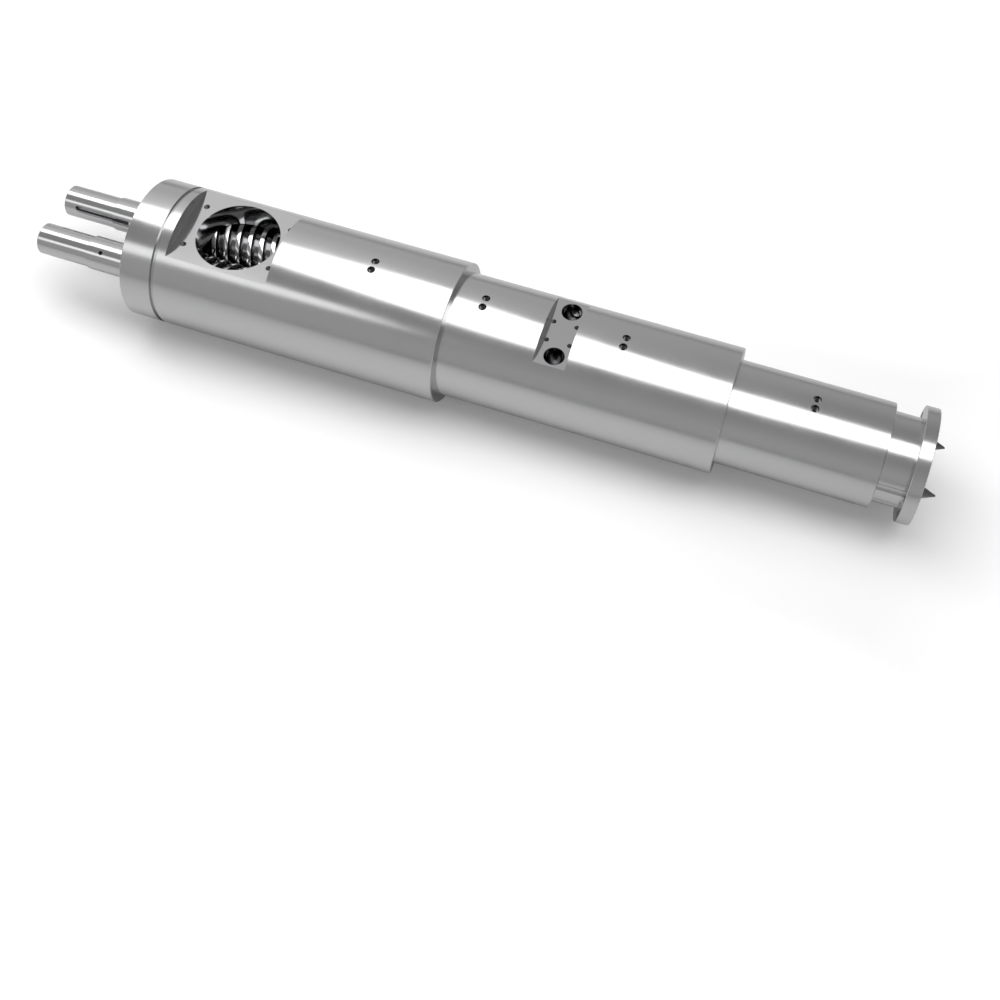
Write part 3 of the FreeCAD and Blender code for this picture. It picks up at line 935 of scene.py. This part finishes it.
@dataclass
class Studio:
    """Pale floor, one large soft light overhead, a narrow one behind the camera, and the camera.

    Attributes:
        floor_height: height of the floor, just under the barrel's head.
        floor_size: width of the floor.
        floor_middle: station of the floor's middle, about halfway along the part.
        floor_grey: colour of the floor to every ray but the camera's own.
        side_fade: distance across the part over which the floor turns white, and the painted light
            that the camera alone sees there.
        end_fade: the same from the floor's middle along the part.
        panel_height: height of both lights.
        panel_rows: (station, near edge, far edge) of the large light from left to right.
        panel_strength: brightness of the large light.
        strip_rows: the same rows for the narrow light.
        strip_strength: brightness of the narrow light.
        across: part of the surroundings in which the near greys give way to the far ones.
        upward: part in which the low greys give way to the high ones.
        near_greys: greys of the near side, low and high.
        far_low_span: part in which the far side's low greys change from left to right.
        far_low_greys: those greys, left and right.
        far_high_span: part in which the far side's high greys change from left to right.
        far_high_greys: (place in that part, grey) from left to right.
        camera_place: where the camera stands.
        camera_turn: its rotation about X, Y and Z in degrees.
        lens: focal length in millimetres.
        shift: sideways and upward shift of the frame.
    """

    floor_height: float = -0.145
    floor_size: float = 24
    floor_middle: float = 0.7
    floor_grey: float = 0.71
    side_fade: tuple[Pair, Pair] = ((0.3, 1.3), (0.04, 1.0))
    end_fade: tuple[Pair, Pair] = ((0.85, 1.3), (0.02, 0.25))
    panel_height: float = 1.65
    panel_rows: tuple[Point, ...] = (
        (-2.0, 0.3, 0.82), (-0.7, -0.02, 0.84), (-0.2, -0.31, 0.86), (0.15, -0.57, 0.98),
        (0.46, -0.70, 0.72), (1.05, -0.77, 0.33), (1.6, -0.62, 0.30), (2.6, -0.3, 0.4),
    )
    panel_strength: float = 3.0
    strip_rows: tuple[Point, ...] = (
        (-2.4, -2.35, -1.35), (-0.9, -2.35, -1.35), (-0.1, -2.1, -1.55),
    )
    strip_strength: float = 1.45
    across: Pair = (0.0, 0.5)
    upward: Pair = (0.35, 0.75)
    near_greys: Pair = (0.44, 0.32)
    far_low_span: Pair = (-0.4, 0.2)
    far_low_greys: Pair = (0.60, 0.38)
    far_high_span: Pair = (-0.5, 0.5)
    far_high_greys: tuple[Pair, ...] = ((0.1, 0.84), (0.34, 0.53), (0.56, 0.32), (0.9, 0.24))
    camera_place: Point = (1.31887, -1.55338, 2.28135)
    camera_turn: Point = (35.7184, -1.8689, 18.1914)
    lens: float = 50.62
    shift: Pair = (-0.0602, -0.1498)

    def light_world(self) -> None:
        """Grey surroundings that brighten to the left, with a white background for the camera."""
        world = bpy.data.worlds.new("Studio")
        bpy.context.scene.world = world
        world.use_nodes = True
        nodes, links = world.node_tree.nodes, world.node_tree.links
        nodes.clear()
        output = nodes.new("ShaderNodeOutputWorld")
        heading = nodes.new("ShaderNodeTexCoord")
        parts = nodes.new("ShaderNodeSeparateXYZ")
        links.new(heading.outputs["Generated"], parts.inputs["Vector"])
        across = self.ramp(nodes, self.across, (0.0, 1.0))
        high = self.ramp(nodes, self.upward, (0.0, 1.0))
        near_side = self.ramp(nodes, self.upward, self.near_greys)
        far_low = self.ramp(nodes, self.far_low_span, self.far_low_greys)
        far_high = nodes.new("ShaderNodeValToRGB")
        stops = far_high.color_ramp.elements
        left, *middle, right = self.far_high_greys
        for stop, (position, grey) in zip(stops, (left, right), strict=True):
            stop.position, stop.color = position, (grey, grey, grey, 1)
        for position, grey in middle:
            stops.new(position).color = (grey, grey, grey, 1)
        sweep = self.ramp(nodes, self.far_high_span, (0.0, 1.0))
        links.new(parts.outputs["Y"], across.inputs["Value"])
        for node in (high, near_side):
            links.new(parts.outputs["Z"], node.inputs["Value"])
        for node in (far_low, sweep):
            links.new(parts.outputs["X"], node.inputs["Value"])
        links.new(sweep.outputs["Result"], far_high.inputs["Fac"])
        far_side = nodes.new("ShaderNodeMix")
        links.new(high.outputs["Result"], far_side.inputs["Factor"])
        links.new(far_low.outputs["Result"], far_side.inputs["A"])
        links.new(far_high.outputs["Color"], far_side.inputs["B"])
        grey = nodes.new("ShaderNodeMix")
        links.new(across.outputs["Result"], grey.inputs["Factor"])
        links.new(near_side.outputs["Result"], grey.inputs["A"])
        links.new(far_side.outputs["Result"], grey.inputs["B"])
        room = nodes.new("ShaderNodeBackground")
        room.inputs["Color"].default_value = (1, 1, 1, 1)
        links.new(grey.outputs["Result"], room.inputs["Strength"])
        white = nodes.new("ShaderNodeBackground")
        white.inputs["Color"].default_value = (1, 1, 1, 1)
        path = nodes.new("ShaderNodeLightPath")
        mix = nodes.new("ShaderNodeMixShader")
        links.new(path.outputs["Is Camera Ray"], mix.inputs["Fac"])
        links.new(room.outputs["Background"], mix.inputs[1])
        links.new(white.outputs["Background"], mix.inputs[2])
        links.new(mix.outputs["Shader"], output.inputs["Surface"])

    @staticmethod
    def ramp(nodes: bpy.types.Nodes, given: Pair, result: Pair) -> bpy.types.Node:
        """Add a node that maps one range of values to another and stops at both ends.

        Args:
            nodes: the node tree's nodes.
            given: range that goes in.
            result: range that comes out.

        Returns:
            The new node.
        """
        node = nodes.new("ShaderNodeMapRange")
        node.inputs["From Min"].default_value, node.inputs["From Max"].default_value = given
        node.inputs["To Min"].default_value, node.inputs["To Max"].default_value = result
        return node

    def lay_floor(self) -> None:
        """Lay the pale floor: white to the camera, light grey to the steel, with painted light for
        the camera growing away from the part past its shadow.
        """
        bpy.ops.object.select_all(action="DESELECT")
        place = (self.floor_middle, 0, self.floor_height)
        bpy.ops.mesh.primitive_plane_add(size=self.floor_size, location=place)
        floor = settle(bpy.context.active_object)
        floor.name = "floor"
        material = bpy.data.materials.new("PaleFloor")
        material.use_nodes = True
        nodes, links = material.node_tree.nodes, material.node_tree.links
        shader = nodes["Principled BSDF"]
        shader.inputs["Roughness"].default_value = 0.9
        shader.inputs["Specular IOR Level"].default_value = 0.0
        shader.inputs["Emission Color"].default_value = (1, 1, 1, 1)
        path = nodes.new("ShaderNodeLightPath")
        paint = nodes.new("ShaderNodeMix")
        paint.data_type = "RGBA"
        paint.inputs["A"].default_value = (self.floor_grey, self.floor_grey, self.floor_grey, 1)
        paint.inputs["B"].default_value = (1, 1, 1, 1)
        links.new(path.outputs["Is Camera Ray"], paint.inputs["Factor"])
        links.new(paint.outputs["Result"], shader.inputs["Base Color"])
        place = nodes.new("ShaderNodeTexCoord")
        parts = nodes.new("ShaderNodeSeparateXYZ")
        links.new(place.outputs["Object"], parts.inputs["Vector"])
        centre = nodes.new("ShaderNodeMath")
        centre.operation = "SUBTRACT"
        centre.inputs[1].default_value = self.floor_middle
        links.new(parts.outputs["X"], centre.inputs[0])
        # painted light: a glow that the camera alone sees grows with distance from the part and
        # whitens the floor past the shadow
        fades = []
        for value, fade in (
            (parts.outputs["Y"], self.ramp(nodes, *self.side_fade)),
            (centre.outputs["Value"], self.ramp(nodes, *self.end_fade)),
        ):
            distance = nodes.new("ShaderNodeMath")
            distance.operation = "ABSOLUTE"
            links.new(value, distance.inputs[0])
            links.new(distance.outputs["Value"], fade.inputs["Value"])
            fades.append(fade.outputs["Result"])
        wider = nodes.new("ShaderNodeMath")
        wider.operation = "MAXIMUM"
        glow = nodes.new("ShaderNodeMath")
        glow.operation = "MULTIPLY"
        links.new(fades[0], wider.inputs[0])
        links.new(fades[1], wider.inputs[1])
        links.new(path.outputs["Is Camera Ray"], glow.inputs[0])
        links.new(wider.outputs["Value"], glow.inputs[1])
        links.new(glow.outputs["Value"], shader.inputs["Emission Strength"])
        floor.data.materials.append(material)

    def hang_light(self, name: str, rows: Sequence[Point], strength: float) -> None:
        """Hang one flat soft light, which the camera itself doesn't see.

        Args:
            name: name of the light.
            rows: (station, near edge, far edge) from left to right.
            strength: its brightness.
        """
        sheet = bmesh.new()
        edges = [
            [sheet.verts.new((x, y, self.panel_height)) for y in sides] for x, *sides in rows
        ]
        for left, right in pairwise(edges):
            sheet.faces.new((left[0], left[1], right[1], right[0]))
        mesh = bpy.data.meshes.new(name)
        sheet.to_mesh(mesh)
        sheet.free()
        light = bpy.data.objects.new(name, mesh)
        bpy.context.scene.collection.objects.link(light)
        light.visible_camera = False
        material = bpy.data.materials.new(name)
        material.use_nodes = True
        nodes, links = material.node_tree.nodes, material.node_tree.links
        nodes.remove(nodes["Principled BSDF"])
        glow = nodes.new("ShaderNodeEmission")
        glow.inputs["Strength"].default_value = strength
        links.new(glow.outputs["Emission"], nodes["Material Output"].inputs["Surface"])
        mesh.materials.append(material)

    def set_camera(self) -> None:
        """Stand the camera where the photograph was taken from."""
        data = bpy.data.cameras.new("Camera")
        camera = bpy.data.objects.new("Camera", data)
        bpy.context.scene.collection.objects.link(camera)
        camera.location = self.camera_place
        camera.rotation_euler = [math.radians(part) for part in self.camera_turn]
        data.sensor_width = 36
        data.lens = self.lens
        data.shift_x, data.shift_y = self.shift
        bpy.context.scene.camera = camera

    def build(self) -> None:
        """Set up the whole studio."""
        bpy.context.scene.view_settings.view_transform = "Standard"
        self.light_world()
        self.lay_floor()
        self.hang_light("panel_light", self.panel_rows, self.panel_strength)
        self.hang_light("strip_light", self.strip_rows, self.strip_strength)
        self.set_camera()
        LOG.info("studio ready")


def main() -> None:
    """Build every piece in order."""
    logging.basicConfig(level=logging.INFO, format="%(name)s: %(message)s")
    marks = marks_group()
    across, round_about = (8.0, 700.0, 8.0), (6.0, 300.0, 300.0)
    barrel_finishes = (
        SteelFinish("TurnedSteel", roughness=0.2, spread=0.03),
        SteelFinish("MilledSeat", roughness=0.12, spread=0.03, stretch=across),
        # painted shade: the bore finish is darkened to 0.30 so that the bores, the throat, the
        # vents and the wells' counterbores look shaded inside
        SteelFinish("BoreWallPaintedShade", (0.30, 0.30, 0.305), 0.12),
        SteelFinish("FacedShoulder", (0.50, 0.50, 0.505), 0.24, stretch=round_about),
        # painted shade: the hole finish is nearly black so that the tapped holes and the deep part
        # of the wells look shaded
        SteelFinish("HoleWallPaintedShade", (0.10, 0.10, 0.10), 0.35),
    )
    screw_finishes = (
        SteelFinish("GroundShank", roughness=0.15, spread=0.03),
        SteelFinish("PolishedCrest", (0.66, 0.66, 0.665), 0.12),
        # painted shade: the channel finish is darkened to 0.20 so that the channels between the
        # flights, the keyway and the dowel hole look shaded; it also makes the nose darker
        SteelFinish("ChannelPaintedShade", (0.20, 0.20, 0.205), 0.15),
    )
    barrel_steel = [finish.build(marks) for finish in barrel_finishes]
    screw_steel = [finish.build(marks) for finish in screw_finishes]
    barrel = SteppedBarrel()
    barrel.build(barrel_steel)
    aside = barrel.axis_offset
    ExtruderScrew("screw_right_hand", "right_screw", aside, Hand.RIGHT).build(screw_steel)
    ExtruderScrew("screw_left_hand", "left_screw", -aside, Hand.LEFT).build(screw_steel)
    Studio().build()


if __name__ == "__main__":
    main()
